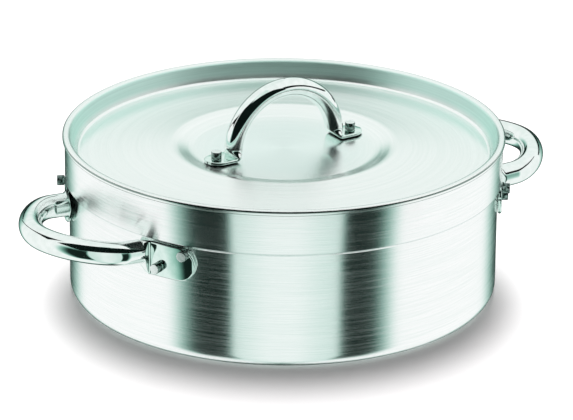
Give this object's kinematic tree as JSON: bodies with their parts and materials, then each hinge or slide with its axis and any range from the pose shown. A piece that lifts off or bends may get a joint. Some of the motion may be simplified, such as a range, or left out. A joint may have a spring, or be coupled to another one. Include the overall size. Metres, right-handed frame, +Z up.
{
  "type": "casserole pot",
  "caption": "Shallow round casserole pot of spun aluminium with tubular steel loop handles riveted to its wall, and a dished lid with an arched tubular handle.",
  "frame": {"origin": "middle of the flat underside, on the pot's axis", "axes": "+Z up along the pot's axis, +X towards the right side handle, -Y the front in the picture"},
  "size_m": [0.4268, 0.3232, 0.1617],
  "materials": {
    "pot": "fine circumferential brushing, satin",
    "lid": "spun, satin",
    "handles": "polished",
    "rivets": "plain, polished"
  },
  "bodies": {
    "pot": {"pot_body": "pot", "side_handle_left": "handles", "side_handle_right": "handles", "rivet_left_front_lower": "rivets", "rivet_left_front_upper": "rivets", "rivet_left_rear_lower": "rivets", "rivet_left_rear_upper": "rivets", "rivet_right_front_lower": "rivets", "rivet_right_front_upper": "rivets", "rivet_right_rear_lower": "rivets", "rivet_right_rear_upper": "rivets"},
    "lid": {"lid": "lid", "lid_handle": "handles", "lid_rivet_left": "rivets", "lid_rivet_right": "rivets"}
  },
  "joints": [
    {"name": "lid_lift", "type": "slide", "parent": "pot", "child": "lid", "axis": [0, 0, 1], "range_m": [0, 0.15]}
  ]
}
